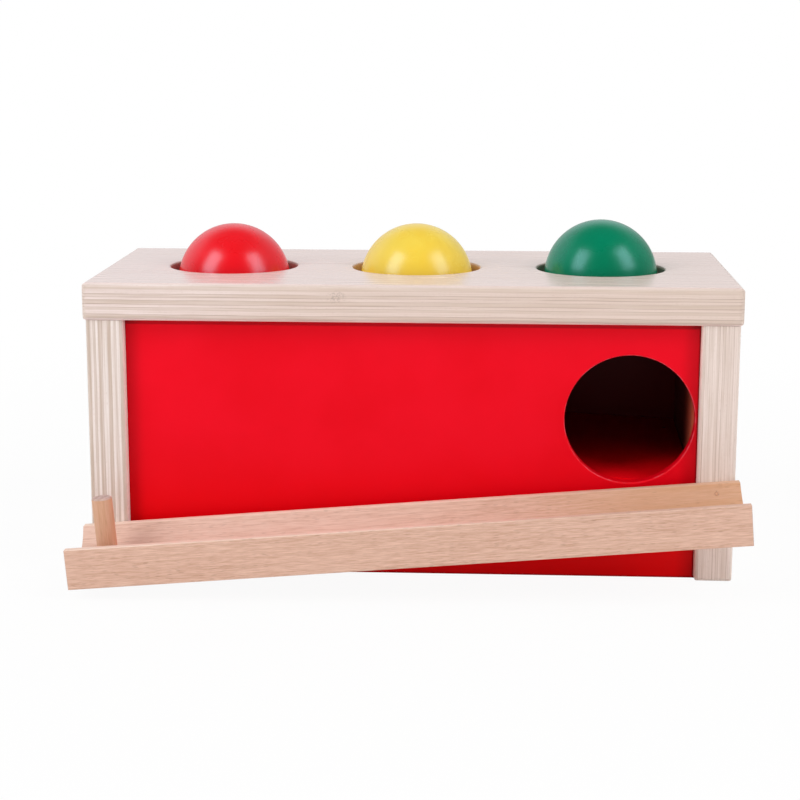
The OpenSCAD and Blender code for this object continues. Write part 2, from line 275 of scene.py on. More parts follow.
room = bpy.data.worlds.new("studio_room")
room.use_nodes = True
studio.world = room
rays = put(room.node_tree, "ShaderNodeLightPath")
right, back, up = split(put(room.node_tree, "ShaderNodeTexCoord")["Generated"])
sweep = back.ramp(*SWEEP_SIDES) * up.ramp(*SWEEP_TOP, 1.0, 0.0) * right.ramp(*SWEEP_FADES)
sweep = sweep * up.ramp(*SWEEP_FOOT, FOOT_SEEN, 1.0)
shown = sweep.math("MAXIMUM", rays["Is Camera Ray"]) * (SWEEP_SEEN - ROOM_SEEN) + ROOM_SEEN
plain = back.ramp(*SWEEP_SIDES) * (SWEEP_LIGHT - ROOM_LIGHT) + ROOM_LIGHT
brightness = seen_directly(rays) * (shown - plain) + plain
mirrored = tint(rays["Is Glossy Ray"] * up.ramp(*SWEEP_FOOT), WHITE, COOL_WHITE)
set_shader(room.node_tree, {"Strength": brightness, "Color": mirrored}, "Background")

# %% [markdown]
# ## The floor
# The floor is a pale matt sheet. Close to the toy it shows the soft shadow, and further off it goes over to
# plain white, so that no horizon shows behind the toy.

# %% Lay the floor
FLOOR_HALF = 6.0
FLOOR_BELOW = 0.2 * MM
FLOOR_PAINT = srgb(247, 247, 247)
WHITE_NEAR = 0.94
WHITE_FROM, WHITE_BEYOND = 0.16, 0.6


def start_finish(name):
    """A new material and its node tree."""
    material = bpy.data.materials.new(name)
    material.use_nodes = True
    return material, material.node_tree


def pale_floor():
    """A floor that the camera and reflections see as nearly white, with the shadow left in it."""
    corners = [(x * FLOOR_HALF, y * FLOOR_HALF, -FLOOR_BELOW) for x, y in ((-1, -1), (1, -1), (1, 1), (-1, 1))]
    mesh = bpy.data.meshes.new("studio_floor")
    mesh.from_pydata(corners, [], [(0, 1, 2, 3)])
    material, tree = start_finish("pale_floor")
    set_shader(tree, {"Base Color": FLOOR_PAINT, "Roughness": 0.9, "Specular IOR Level": 0.0})
    place = put(tree, "ShaderNodeTexCoord")["Object"]
    away = put(tree, "ShaderNodeVectorMath", {0: place}, operation="LENGTH")["Value"]
    share = seen_directly(put(tree, "ShaderNodeLightPath")) * away.ramp(WHITE_FROM, WHITE_BEYOND, WHITE_NEAR, 1.0)
    white = put(tree, "ShaderNodeEmission", {"Color": WHITE, "Strength": 1.0})["Emission"]
    lit = Wire(tree, tree.nodes["Principled BSDF"].outputs["BSDF"])
    mixed = put(tree, "ShaderNodeMixShader", {0: share, 1: lit, 2: white})["Shader"]
    set_shader(tree, {"Surface": mixed}, "Material Output")
    mesh.materials.append(material)
    return bpy.data.objects.new("studio_floor", mesh)


floor = pale_floor()
studio.collection.objects.link(floor)
print("floor:", 2 * FLOOR_HALF, "m square")

# %% [markdown]
# ## What all woods share
# Wood is a bundle of fibres, so its pattern is a cloud of noise drawn out along the grain. Two shader
# groups hold that: one gives soft streaks, the other the short dark flecks that beech is known for. Both
# work in the board's own frame, with x along the grain, so that a cut end shows dots where a side shows lines.


# %% Wood groups
def noise(place, scale, detail=2.0, **more):
    """Cloudy noise, from 0 to 1."""
    values = {"Vector": place, "Scale": scale, "Detail": detail, **more}
    return put(place.tree, "ShaderNodeTexNoise", values)["Fac"]


def fibre_group():
    """Soft streaks, from 0 to 1, of a given length and width."""
    tree, given, leave = start_shader_group("wood_fibres", ["Length", "Width", "Seed"], ["Streak"])
    x, y, z = split(given["Vector"])
    drawn = join(x / given["Length"], y / given["Width"], z / given["Width"] + given["Seed"])
    connect(tree, noise(drawn, scale=1.0, detail=3.0, Roughness=0.6), leave.inputs["Streak"])
    return tree


DASH_EDGE = (0.14, 0.34)


def fleck_group():
    """Short dashes along the grain: 1 on a dash, 0 elsewhere."""
    tree, given, leave = start_shader_group("wood_flecks", ["Length", "Width", "Share"], ["Fleck"])
    x, y, z = split(given["Vector"])
    drawn = join(x / given["Length"], y / given["Width"], z / given["Width"])
    cells = put(tree, "ShaderNodeTexVoronoi", {"Vector": drawn, "Scale": 1.0, "Randomness": 1.0})
    chosen = split(cells["Color"])[0].math("LESS_THAN", given["Share"])
    connect(tree, cells["Distance"].ramp(*DASH_EDGE, 1.0, 0.0) * chosen, leave.inputs["Fleck"])
    return tree


wood_fibres = fibre_group()
wood_flecks = fleck_group()


def grown(group, place, size, **more):
    """The pattern of a wood group, for a length and a width."""
    values = {"Vector": place, "Length": size[0], "Width": size[1], **more}
    return use_group(place.tree, group, values)[0]


print("groups:", wood_fibres.name, wood_flecks.name)

# %% [markdown]
# ## Starting a finish
# Every finish is one material with one Principled shader. Boards need a place in their own frame, all need a
# fine relief, and in the end each goes on a solid.


# %% Start a finish
def in_board_frame(tree, middle, turn):
    """Place and normal in a board's own frame. turn holds the board's axes as columns."""
    coordinates = put(tree, "ShaderNodeTexCoord")
    angles = turn.to_euler()
    place = {"Vector": coordinates["Object"], "Location": middle, "Rotation": angles}
    facing = {"Vector": coordinates["Normal"], "Rotation": angles}
    placed = put(tree, "ShaderNodeMapping", place, vector_type="TEXTURE")["Vector"]
    faced = put(tree, "ShaderNodeMapping", facing, vector_type="TEXTURE")["Vector"]
    return placed, faced


def cover(tree, colour, gloss, height, depth, strength, shine=0.5, **more):
    """Sets the shader, and lets a height from 0 to 1 raise the surface by a depth in metres."""
    bump = put(tree, "ShaderNodeBump", {"Height": height, "Distance": depth, "Strength": strength})["Normal"]
    inputs = {"Base Color": colour, "Roughness": gloss, "Specular IOR Level": shine, "Normal": bump}
    set_shader(tree, {**inputs, **more})


def middle_of(node):
    """The middle of a solid's box."""
    low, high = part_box(node)
    return (low + high) / 2


def dress(node, material):
    """Gives a solid its finish."""
    solids[node].data.materials.clear()
    solids[node].data.materials.append(material)


UPRIGHT = Matrix.Identity(3)
WOOD_SHINE = 0.35
print("finishes can start")

# %% [markdown]
# ## Birch plywood
# The lid and the end boards are plywood of 11 thin plies whose grain runs crosswise by turns. On an edge,
# a ply that runs along it looks pale and smooth, and one that ends there looks darker. A picture wrapped
# round the board would break at every corner, so the plies are a solid pattern: the height in the board
# gives the ply, the ply gives the direction of its fibres, and the angle between fibre and surface gives
# the tone. The rounded edges then cut through the plies just as a router does. Thin glue lines lie between
# the plies, some plain to see and some nearly lost.
#
# The face of the lid is varnished: it is warmer, and glossy enough to mirror the balls softly. From left to
# right its colour drifts from pink to tan. The walls of its holes carry painted shade, and the middle one a
# painted orange bounce from the yellow ball. A small knot shows in its front edge, and the lowest ply of that
# edge is left lighter as painted bounce light from the floor. The inner faces of the end boards carry painted
# red bounce light at the front and painted shade further in.

# %% Plywood
PLY_COUNT = 11
PLY_THICK = 15 * MM / PLY_COUNT
OUTER_PLY = PLY_COUNT // 2
PLY_WANDER, PLY_UNEVEN = 0.6, 1.1
GLUE_LINE = (0.03, 0.17)


def ply_group():
    """For a height in the board: 1 in plies that run along x, a chance tone for each ply, and the glue lines."""
    outputs = ["Along", "Tone", "Glue", "Number"]
    tree, given, leave = start_shader_group("ply_stack", ["Ply", "Seed"], outputs)
    x, y, z = split(given["Vector"])
    slow = noise(join(x, y, given["Seed"]), scale=24.0)
    through = {"W": z + given["Seed"], "Scale": 230.0, "Detail": 0.0}
    uneven = put(tree, "ShaderNodeTexNoise", through, noise_dimensions="1D")
    level = z / given["Ply"] + 0.5 + (slow - 0.5) * PLY_WANDER + (uneven["Fac"] - 0.5) * PLY_UNEVEN
    number = level.math("FLOOR").math("MINIMUM", OUTER_PLY).math("MAXIMUM", -OUTER_PLY)
    tone = put(tree, "ShaderNodeTexWhiteNoise", {"W": number + given["Seed"]}, noise_dimensions="1D")
    line = (level + 0.5).math("FLOOR")
    inside = abs(line - 0.5).math("LESS_THAN", OUTER_PLY - 0.25)
    chance = put(tree, "ShaderNodeTexWhiteNoise", {"W": line + given["Seed"] + 0.37}, noise_dimensions="1D")
    glue = abs(level - line).ramp(*GLUE_LINE, 1.0, 0.0) * inside * chance["Value"]
    along = number.math("FLOORED_MODULO", 2.0)
    for label, result in zip(outputs, (along, tone["Value"], glue, number)):
        connect(tree, result, leave.inputs[label])
    return tree


ply_stack = ply_group()
BIRCH_PLAIN = srgb(246, 231, 224)
BIRCH_PINK = srgb(249, 234, 232)
BIRCH_TAN = srgb(242, 225, 219)
BIRCH_VARNISHED = srgb(244, 202, 190)
BIRCH_KNOT = srgb(164, 144, 132)
BIRCH_WHITE = srgb(248, 237, 232)
BIRCH_ACROSS = srgb(206, 186, 171)
BIRCH_EDGE = srgb(220, 198, 180)
BIRCH_FIBRE = srgb(216, 191, 176)
BIRCH_GLUE = srgb(184, 156, 140)
BIRCH_PORE = srgb(186, 156, 138)
# Painted shade in the lid's hole walls, and a painted orange bounce from the yellow ball in the middle hole.
BIRCH_HOLE_SHADE = srgb(150, 106, 84)
BIRCH_YELLOW_BOUNCE = srgb(232, 152, 106)
# Painted red bounce light and painted shade on the end boards' inner faces.
RED_BOUNCE_PAINTED = srgb(238, 118, 82)
DARK_SHADE_PAINTED = srgb(98, 24, 12)
HOLE_PITCH, HOLE_RADIUS = 77 * MM, 26.5 * MM
HOLE_SHADE_DEPTH, MIDDLE_BOUNCE_SHARE = 0.8 * MM, 0.7
HALF_ROOM = 46.25 * MM
INNER_SHADE_FALL = (12 * MM - HALF_ROOM, 56 * MM - HALF_ROOM)
KNOT_PLACE, KNOT_HALF = (-29 * MM, 2.6 * MM), (4.6 * MM, 3.2 * MM)
KNOT_MOTTLE, KNOT_SHARE = (0.44, 0.64), 0.42
BROAD_GRAIN, EDGE_THREAD, FINE_HAIR = (70 * MM, 3.2 * MM), (30 * MM, 0.4 * MM), (11 * MM, 0.22 * MM)
BIRCH_PORES = (2.2 * MM, 0.2 * MM)
DRIFT_HALF = 110 * MM
LOWEST_PLY_BOUNCE = (-7.2 * MM, -5.2 * MM)
CUT_ALONG = (-120 * MM, -20 * MM, 0.5, 1.0)
EDGE_TURNS = (0.03, 0.35)
FACE_GRAIN, BIRCH_RELIEF, INNER_WALL_DULLS = 0.28, 0.35, 0.32
VARNISH_GRAIN, VARNISH_RELIEF, VARNISH_TONE, VARNISH_GLOSS = 0.13, 0.08, 0.3, 0.26


def shaded_hole_walls(x, y):
    """How much painted shade lies on the walls of the lid's three holes, 0 outside them, and whether a hole is an
    outer one.
    """
    hole = (x / HOLE_PITCH).math("ROUND").math("MINIMUM", 1.0).math("MAXIMUM", -1.0)
    wall = distance(x - hole * HOLE_PITCH, y).ramp(HOLE_RADIUS, HOLE_RADIUS + HOLE_SHADE_DEPTH, 1.0, 0.0)
    outer = abs(hole)
    return wall * outer.ramp(0.0, 1.0, MIDDLE_BOUNCE_SHARE, 1.0), outer


def small_knot(x, z, facing_y):
    """1 in the middle of the knot in a board's front edge, 0 outside it."""
    across, up = [(way - place) / half for way, place, half in zip((x, z), KNOT_PLACE, KNOT_HALF)]
    return (across * across + up * up).ramp(0.1, 1.0, 1.0, 0.0) * facing_y.ramp(-0.9, -0.5, 1.0, 0.0)


def exchanged(place, where):
    """A place with its x and y exchanged where the second value is 1."""
    x, y, z = split(place)
    shift = (y - x) * where
    return join(x + shift, y - shift, z)


def birch_plywood(name, board, turn, plain, stripe, cut, glue, fibre, seed, inner=0, far=None):
    """Plywood for one board: its plain colour, and how dark the cut plies, the whole edge, the glue lines and the
    fibres are. inner is the side of an end board's inner face, which carries painted bounce light and painted
    shade; 0 is the lid, whose hole walls carry painted shade. far is the plain colour at the far end of the lid,
    whose face is varnished."""
    material, tree = start_finish(name)
    placed, faced = in_board_frame(tree, middle_of(board), turn)
    plies = use_group(tree, ply_stack, {"Vector": placed, "Ply": PLY_THICK, "Seed": seed})
    x, y, z = split(placed)
    facing_x, facing_y, facing_z = split(faced)
    lying = exchanged(placed, 1.0 - plies["Along"])
    ending = (facing_x - facing_y) * plies["Along"] + facing_y
    running = exchanged(placed, abs(facing_x).math("GREATER_THAN", 0.7))
    edge = (1.0 - abs(facing_z)).ramp(*EDGE_TURNS)
    layer = plies["Number"] * 1.37 + seed
    broad = grown(wood_fibres, lying, BROAD_GRAIN, Seed=layer)
    thread = grown(wood_fibres, running, EDGE_THREAD, Seed=layer)
    hair = grown(wood_fibres, lying, FINE_HAIR, Seed=layer)
    pore = grown(wood_flecks, lying, BIRCH_PORES, Share=0.35)
    if far:
        plain = tint(x.ramp(-DRIFT_HALF, DRIFT_HALF, smooth=False), plain, far)
        plain = tint((1.0 - edge) * VARNISH_TONE, plain, BIRCH_VARNISHED)
    darker = abs(ending) * (plies["Tone"] * 0.6 + 0.55) * stripe
    tone = tint(darker + (thread.ramp(0.36, 0.66) - 0.1) * edge * 0.45, plain, BIRCH_ACROSS)
    grain = broad.ramp(0.42, 0.75) * 0.5 + hair.ramp(0.5, 0.72) * 0.5
    shown = (1.0 - edge) * (FACE_GRAIN if inner else VARNISH_GRAIN) + fibre
    # Painted bounce light: the lowest ply of the lid's edge loses the darker cut tone, as if lit from the floor.
    rough = edge * x.ramp(*CUT_ALONG) * z.ramp(*LOWEST_PLY_BOUNCE) * cut
    grained = tint(grain * shown, tint(rough, tone, BIRCH_EDGE), BIRCH_FIBRE)
    pored = tint(pore * 0.3, grained, BIRCH_PORE)
    line = plies["Glue"] * edge * thread.ramp(0.3, 0.55)
    bare = tint(line * glue, pored, BIRCH_GLUE)
    gloss = grain.ramp(0.0, 1.0, 0.5, 0.66)
    relief = BIRCH_RELIEF
    if inner:
        # Painted red bounce light at the front of the inner face, and painted shade further in.
        between = abs(x).ramp(HALF_ROOM, HALF_ROOM + 0.5 * MM, 1.0, 0.0)
        inner_wall = (facing_z * inner).ramp(0.5, 0.9) * between
        inner_colour = tint(x.ramp(*INNER_SHADE_FALL), RED_BOUNCE_PAINTED, DARK_SHADE_PAINTED)
        coloured = tint(inner_wall * thread.ramp(0.2, 0.7, 1.0, 0.97), bare, inner_colour)
        gloss = gloss + inner_wall * INNER_WALL_DULLS
    else:
        # Painted shade in the hole walls, with a painted yellow bounce in the middle hole.
        hole_shade, outer = shaded_hole_walls(x, y)
        hole_colour = tint(outer, BIRCH_YELLOW_BOUNCE, BIRCH_HOLE_SHADE)
        coloured = tint(hole_shade * broad.ramp(0.3, 0.7, 0.66, 0.42), bare, hole_colour)
        knot = small_knot(x, z, facing_y) * noise(placed, scale=1500.0).ramp(*KNOT_MOTTLE) * KNOT_SHARE
        coloured = tint(knot, coloured, BIRCH_KNOT)
        gloss = gloss - (1.0 - edge) * VARNISH_GLOSS
        relief = edge.ramp(0.0, 1.0, VARNISH_RELIEF, BIRCH_RELIEF)
    height = hair - line * 0.4 - pore * 0.4
    cover(tree, coloured, gloss, height, depth=0.06 * MM, strength=relief, shine=WOOD_SHINE)
    dress(board, material)


END_BOARD_TURN = Matrix(((0, 0, 1), (1, 0, 0), (0, 1, 0)))
birch_plywood("birch_ply_top", "top_board", UPRIGHT, BIRCH_PINK,
              stripe=0.52, cut=0.44, glue=0.9, fibre=0.3, seed=3.1, far=BIRCH_TAN)
birch_plywood("birch_ply_left", "left_end_board", END_BOARD_TURN, BIRCH_WHITE,
              stripe=0.68, cut=0.0, glue=0.4, fibre=0.22, seed=8.4, inner=1)
birch_plywood("birch_ply_right", "right_end_board", END_BOARD_TURN, BIRCH_PLAIN,
              stripe=0.27, cut=0.06, glue=0.9, fibre=0.34, seed=5.7, inner=-1)
print("plywood: %d plies of %.2f mm" % (PLY_COUNT, PLY_THICK / MM))

# %% [markdown]
# ## Beech
# The track, the peg, the cleats and the dowels are beech: a close pinkish wood with faint year rings, wavy
# fine lines and many short brown flecks. Here too the wood is solid. Year rings are circles round a pith line
# outside the board, so the faces show long lines and the ends show arcs, as on a sawn piece. Along the top of
# the narrow rails of the track runs a painted highlight, strongest towards the low end.

# %% Beech finish
BEECH_PALE = srgb(238, 200, 180)
BEECH_DEEP = srgb(204, 158, 134)
BEECH_HEART = srgb(216, 164, 124)
BEECH_SAP = srgb(238, 207, 192)
BEECH_FLECK = srgb(150, 104, 80)
# The colour of the painted highlight along the top of the rails.
BEECH_RAIL_HIGHLIGHT = srgb(250, 226, 210)
BEECH_END = srgb(210, 190, 188)
BEECH_END_PORE = srgb(178, 147, 135)
RING_WIDTH = 2.6 * MM
BEECH_STREAKS = {
    "sway": ((90 * MM, 20 * MM), 0.0),
    "broad": ((60 * MM, 4 * MM), 1.3),
    "wavy": ((9.5 * MM, 0.5 * MM), 2.6),
    "hair": ((6 * MM, 0.26 * MM), 4.1),
}
BEECH_DASHES = (4.2 * MM, 0.32 * MM)
RAIL_EDGE = (-0.5 * MM, -0.1 * MM)
RAIL_HIGHLIGHT_ALONG = (-20 * MM, 80 * MM, 0.75, 0.2)


def beech(name, middle, turn, pith, seed, heart=None, sap=None, rail_top=None):
    """Beech for one piece. pith is where the middle of the tree lies, in the piece's own frame; heart is
    where its warmer wood begins and is full, along x and along y, and how warm it is; sap is its paler wood;
    rail_top is the height of the rails, along whose top a painted highlight runs, strongest towards the low end."""
    material, tree = start_finish(name)
    placed, faced = in_board_frame(tree, middle, turn)
    x, y, z = split(placed)
    from_pith = distance(y - pith[0], z - pith[1])
    streaks = {label: grown(wood_fibres, placed, size, Seed=seed + shift)
               for label, (size, shift) in BEECH_STREAKS.items()}
    year = (from_pith / RING_WIDTH + streaks["sway"] * 3.0).math("FRACT")
    ring = year.ramp(0.25, 0.92) - year.ramp(0.92, 1.0)
    fleck = grown(wood_flecks, placed, BEECH_DASHES, Share=0.45) * streaks["broad"].ramp(0.35, 0.6)
    depth = ring * 0.14 + streaks["broad"].ramp(0.3, 0.75) * 0.2
    depth = depth + streaks["wavy"].ramp(0.38, 0.62) * 0.36 + streaks["hair"].ramp(0.4, 0.62) * 0.4
    bare = tint(depth.ramp(0.0, 1.0, smooth=False), BEECH_PALE, BEECH_DEEP)
    if heart:
        warm = x.ramp(*heart[0]) * y.ramp(*heart[1]) * streaks["broad"].ramp(0.2, 0.7, 0.6, 1.0)
        bare = tint(warm * heart[2], bare, BEECH_HEART)
    if sap:
        pale = x.ramp(*sap[0], 1.0, 0.0) * y.ramp(*sap[1]) * streaks["wavy"].ramp(0.34, 0.66, 1.0, 0.45)
        bare = tint(pale * sap[2], bare, BEECH_SAP)
    if rail_top:
        # A painted highlight along the top of the rails, strongest towards the low end.
        glint = (z - rail_top).ramp(*RAIL_EDGE) * x.ramp(*RAIL_HIGHLIGHT_ALONG)
        bare = tint(glint, bare, BEECH_RAIL_HIGHLIGHT)
    flecked = tint(fleck * 0.5, bare, BEECH_FLECK)
    end_grain = abs(split(faced)[0]).ramp(0.35, 0.9)
    tube = noise(placed, scale=2400.0)
    end_tone = tint(ring * 0.5 + tube.ramp(0.4, 0.66) * 0.5, BEECH_END, BEECH_END_PORE)
    colour, hair = tint(end_grain * 0.9, flecked, end_tone), streaks["hair"]
    gloss = hair.ramp(0.2, 0.8, 0.5, 0.66)
    cover(tree, colour, gloss, hair - fleck * 0.6, depth=0.08 * MM, strength=0.4, shine=WOOD_SHINE)
    return material


TRACK_SLOPE = 4.8
TRACK_TURN = turned(-TRACK_SLOPE, "Y")
PEG_TURN = TRACK_TURN @ turned(-90, "Y")
CLEAT_TURN = turned(90, "Z")
TRACK_HEART = ((30 * MM, 110 * MM), (2 * MM, 12 * MM), 0.85)
TRACK_SAP = ((-60 * MM, 90 * MM), (3 * MM, 9 * MM), 0.85)
PEG_HEART = ((-100 * MM, -50 * MM), (-100 * MM, -50 * MM), 0.75)
into_track, track_middle = TRACK_TURN.transposed(), middle_of("ball_track")
rail_top = max((into_track @ (vertex.co - track_middle)).z for vertex in solids["ball_track"].data.vertices)
BEECH_PIECES = {
    "ball_track": (TRACK_TURN, (-48 * MM, -70 * MM), 2.2, TRACK_HEART, TRACK_SAP, rail_top),
    "stop_peg": (PEG_TURN, (30 * MM, 55 * MM), 6.8, PEG_HEART),
    "left_ramp_cleat": (CLEAT_TURN, (40 * MM, 30 * MM), 9.3),
    "right_ramp_cleat": (CLEAT_TURN, (-35 * MM, 42 * MM), 1.6),
}
for node, settings in BEECH_PIECES.items():
    dress(node, beech("beech_" + node, middle_of(node), *settings))
print("rails of the track: %.2f mm above its middle" % (rail_top / MM))
print("beech:", ", ".join(BEECH_PIECES))

# %% [markdown]
# ## Paint and lacquer
# Sprayed paint is never quite flat: it dries to a fine peel, and its gloss is a little uneven. One group
# gives both, and every coat uses it at its own scale. Round the exit hole a pale ring on the rim is a painted
# highlight of its rounded edge. Beside the boards, under the lid and along the lower edge the red is darkened
# by painted shade, and low down it takes the deeper hue of painted shade. The inner faces of the panels are
# painted dark and the ramp darker behind its front strip: painted shade inside the box, which also sends little
# light back out.


# %% Paint
def peel_group():
    """The fine peel of sprayed paint as a height, and a slow cloud for colour and gloss."""
    tree, given, leave = start_shader_group("spray_peel", ["Peel", "Cloud"], ["Height", "Cloud"])
    for label, size, detail in (("Height", given["Peel"], 2.0), ("Cloud", given["Cloud"], 3.0)):
        connect(tree, noise(given["Vector"], size, detail), leave.inputs[label])
    return tree


spray_peel = peel_group()


def start_coat(name, peel, cloud):
    """A new material with the peel at its own scale: material, tree, place and the peel's outputs."""
    material, tree = start_finish(name)
    place = put(tree, "ShaderNodeTexCoord")["Object"]
    return material, tree, place, use_group(tree, spray_peel, {"Vector": place, "Peel": peel, "Cloud": cloud})


RED_PAINT = (srgb(244, 3, 32), srgb(239, 1, 27))
RED_RAMP = (srgb(250, 6, 24), srgb(242, 4, 20))
# Painted shade: the ramp far in, the hue low down, the corners and the inner faces; and a painted rim highlight.
RED_RAMP_SHADE = srgb(158, 6, 14)
RED_LOW_SHADE = srgb(243, 2, 10)
RED_CORNER_SHADE = srgb(84, 2, 6)
RED_INSIDE_SHADE = srgb(78, 3, 5)
RIM_HIGHLIGHT = srgb(228, 102, 116)
EXIT_AXIS = Vector((87.0, 0.0, 64.8)) * MM
EXIT_RADIUS = 25.8 * MM
RIM_WIDTH = 0.5 * MM
RIM_DEPTH, SHADE_CLEARS_RIM, INNER_SKIN = (0.3 * MM, 0.7 * MM), (0.4 * MM, 1.2 * MM), (0.5 * MM, 1.5 * MM)
PANEL_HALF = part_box("right_end_board")[0].x
UNDER_LID = 1.6 * MM
PANEL_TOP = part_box("top_board")[0].z - UNDER_LID
RAMP_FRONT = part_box("ramp_board")[0].y
RAMP_SHADE_DEPTHS = (RAMP_FRONT + 12 * MM, RAMP_FRONT + 62 * MM)
LOW_SHADE_HEIGHTS = (8 * MM, 60 * MM)
LEFT_CORNER = 0.5 * MM
PAINTED_SHADE_LINE, CORNER_SHADE_FALL = (0.2 * MM, 0.9 * MM, 0.48, 0.0), (0.0, 8 * MM, 0.3, 0.0)


def corner_shade(x, z):
    """How much painted shade lies beside the end boards, under the lid and along the lower edge of a panel."""
    beside = PANEL_HALF - abs(x) + x.ramp(-1 * MM, 1 * MM, LEFT_CORNER, 0.0)
    near = beside.math("MINIMUM", PANEL_TOP - z).math("MINIMUM", z)
    return near.ramp(*PAINTED_SHADE_LINE) + beside.ramp(*CORNER_SHADE_FALL)


def red_paint(name, node, coat, inside=None, rim_glint=False):
    """Satin red paint; inside is -1 or 1 where a panel's front or back face is painted dark as painted shade
    inside the box, and None for the ramp, which is painted darker behind its front strip as painted shade. A pale
    ring round the exit hole is a painted highlight."""
    material, tree, place, peel = start_coat(name, peel=620.0, cloud=28.0)
    colour = tint(peel["Cloud"].ramp(0.35, 0.7), *coat)
    x, y, z = split(place)
    past_rim = distance(x - EXIT_AXIS.x, z - EXIT_AXIS.z) - EXIT_RADIUS
    if inside:
        # Painted shade: a deeper hue low down, a dark line and a fall in the corners, and dark inner faces.
        colour = tint(z.ramp(*LOW_SHADE_HEIGHTS, 1.0, 0.0), colour, RED_LOW_SHADE)
        into = ((y - middle_of(node).y) * inside).ramp(*INNER_SKIN)
        if rim_glint:
            into = into * past_rim.ramp(*SHADE_CLEARS_RIM)
        colour = tint(into, tint(corner_shade(x, z), colour, RED_CORNER_SHADE), RED_INSIDE_SHADE)
    else:
        # Painted shade: the ramp goes darker behind its front strip, where no light reaches inside the box.
        colour = tint(y.ramp(*RAMP_SHADE_DEPTHS), colour, RED_RAMP_SHADE)
    if rim_glint:
        # A painted highlight: a pale ring on the rim of the exit hole, where its rounded edge would catch the
        # light.
        wander = noise(place, scale=260.0)
        glint = (past_rim / RIM_WIDTH + (wander - 0.5) * 0.9).ramp(0.35, 0.95, 1.0, 0.0)
        glint = glint * (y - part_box(node)[0].y).ramp(*RIM_DEPTH, 1.0, 0.0)
        colour = tint(glint * wander.ramp(0.38, 0.66, 0.08, 0.85), colour, RIM_HIGHLIGHT)
    gloss = peel["Cloud"].ramp(0.3, 0.75, 0.36, 0.46)
    cover(tree, colour, gloss, peel["Height"], depth=0.03 * MM, strength=0.25, shine=0.09)
    dress(node, material)


red_paint("red_front_paint", "front_panel", RED_PAINT, inside=1, rim_glint=True)
red_paint("red_back_paint", "back_panel", RED_PAINT, inside=-1)
red_paint("red_ramp_paint", "ramp_board", RED_RAMP)
print("painted: front_panel, back_panel, ramp_board")

# %% [markdown]
# The balls are turned wood under a harder lacquer. It is glossier than the panels' paint, and its sheen is cool.

# %% Lacquered balls
LACQUERS = {
    "red_ball": (srgb(250, 20, 33), srgb(242, 13, 24)),
    "yellow_ball": (srgb(255, 222, 83), srgb(255, 216, 68)),
    "green_ball": (srgb(0, 133, 95), srgb(0, 126, 88)),
}
COOL_SHEEN = (0.5, 0.84, 1.0, 1.0)


def lacquer(node, plain, deep):
    """Satin lacquer on a turned ball."""
    material, tree, place, peel = start_coat(node + "_lacquer", peel=420.0, cloud=70.0)
    colour, gloss = tint(peel["Cloud"].ramp(0.35, 0.7), plain, deep), peel["Cloud"].ramp(0.3, 0.75, 0.25, 0.3)
    cover(tree, colour, gloss, peel["Height"], depth=0.04 * MM, strength=0.2, shine=0.64)
    set_shader(tree, {"Specular Tint": COOL_SHEEN})
    dress(node, material)


for ball, coat in LACQUERS.items():
    lacquer(ball, *coat)
print("lacquered:", ", ".join(LACQUERS))

# %% [markdown]
# ## Steel and rubber
# The screws are zinc-plated steel: a metal whose gloss is cloudy from the plating bath. The brads are bare
# steel that has gone dull and dark. Those of the track show, so their heads are stopped with putty in the
# colour of the wood. The rings are soft black rubber, dull too and slightly dusty.

# %% Steel and rubber finishes
BRAD_PUTTY = srgb(234, 188, 154)
PUTTY_DEPTH = (0.9 * MM, 1.0 * MM)
RUBBER, DUST = srgb(34, 31, 30), srgb(62, 57, 54)


def cloudy_steel(name, pale, dark, smooth, rough, stopped=None):
    """Steel with a cloudy gloss; stopped is the y at which the putty on a brad's head begins."""
    material, tree, place, bath = start_coat(name, peel=2600.0, cloud=700.0)
    colour, bare = tint(bath["Cloud"].ramp(0.35, 0.65), pale, dark), 1.0
    if stopped is not None:
        bare = (split(place)[1] - stopped).ramp(*PUTTY_DEPTH)
        colour = tint(bare, BRAD_PUTTY, colour)
    gloss = bath["Cloud"].ramp(0.3, 0.7, smooth, rough)
    cover(tree, colour, gloss, bath["Height"], depth=0.02 * MM, strength=0.3, Metallic=bare)
    return material


def ring_rubber():
    """Black rubber with a little dust on it."""
    material, tree, place, skin = start_coat("grip_rubber", peel=1800.0, cloud=160.0)
    shade, gloss = tint(skin["Cloud"].ramp(0.4, 0.75), RUBBER, DUST), skin["Cloud"].ramp(0.35, 0.7, 0.62, 0.82)
    cover(tree, shade, gloss, skin["Height"], depth=0.04 * MM, strength=0.35)
    return material


screw_steel = cloudy_steel("zinc_steel", srgb(204, 206, 208), srgb(158, 160, 164), smooth=0.26, rough=0.5)
DULL = {"pale": srgb(112, 106, 100), "dark": srgb(74, 69, 66), "smooth": 0.5, "rough": 0.7}
brad_steel = cloudy_steel("dull_steel", **DULL)
stopped_steel = cloudy_steel("stopped_steel", **DULL, stopped=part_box("track_brads")[0].y)
rubber = ring_rubber()
print("finishes:", screw_steel.name, brad_steel.name, stopped_steel.name, rubber.name)

# %% [markdown]
# ## Turned forms from a rule
# Screws, brads, dowels and rings are all turned: one outline goes round an axis. The Screw modifier could
# spin a drawn outline, but then every size would sit in the drawing. A Geometry Nodes tree keeps the sizes
# as named inputs instead. A flat grid has its rows along the outline and its columns round the axis, Set
# Position rolls it up, and Merge by Distance closes the seam and the two ends. The outline is a list of
# stations with straight runs between them, from the far end down, so that the faces point outwards.

# %% Turned forms
GEOMETRY = "NodeSocketGeometry"
SEED_AND_FINISH = {"Seed": "NodeSocketInt", "Finish": "NodeSocketMaterial"}
FULL_TURN = 2 * math.pi
WELD = 0.002 * MM
Y, Z = 1, 2


